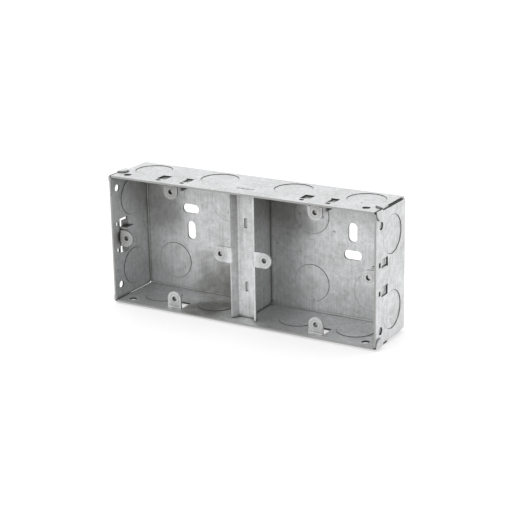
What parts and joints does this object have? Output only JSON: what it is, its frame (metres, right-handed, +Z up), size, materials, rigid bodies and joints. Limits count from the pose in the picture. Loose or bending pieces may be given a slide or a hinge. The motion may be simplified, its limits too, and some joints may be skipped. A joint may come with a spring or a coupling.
{
  "type": "flush back box",
  "caption": "Galvanised sheet steel flush back box with side by side compartments, a central divider, fixed and adjustable tapped lugs and conduit knockouts.",
  "frame": {"origin": "centre of the back plate's outer face", "axes": "+X along the box, +Y out of the back, -Y out of the open front, +Z up"},
  "size_m": [0.1622, 0.035, 0.0742],
  "materials": {
    "galvanised_sheet": "galvanised, dull zinc with faint streaks"
  },
  "bodies": {
    "box": {"box_body": "galvanised_sheet", "divider_channel": "galvanised_sheet", "partition": "galvanised_sheet"},
    "top_left_adjustable_lug": {"top_left_adjustable_lug": "galvanised_sheet"},
    "top_right_adjustable_lug": {"top_right_adjustable_lug": "galvanised_sheet"},
    "left_adjustable_lug": {"left_adjustable_lug": "galvanised_sheet"},
    "right_adjustable_lug": {"right_adjustable_lug": "galvanised_sheet"}
  },
  "joints": [
    {"name": "top_left_lug_slide", "type": "slide", "parent": "box", "child": "top_left_adjustable_lug", "axis": [1, 0, 0], "range_m": [-0.0019, 0.0019]},
    {"name": "top_right_lug_slide", "type": "slide", "parent": "box", "child": "top_right_adjustable_lug", "axis": [1, 0, 0], "range_m": [-0.0019, 0.0019]},
    {"name": "left_lug_slide", "type": "slide", "parent": "box", "child": "left_adjustable_lug", "axis": [0, 0, 1], "range_m": [-0.0019, 0.0019]},
    {"name": "right_lug_slide", "type": "slide", "parent": "box", "child": "right_adjustable_lug", "axis": [0, 0, 1], "range_m": [-0.0019, 0.0019]}
  ]
}
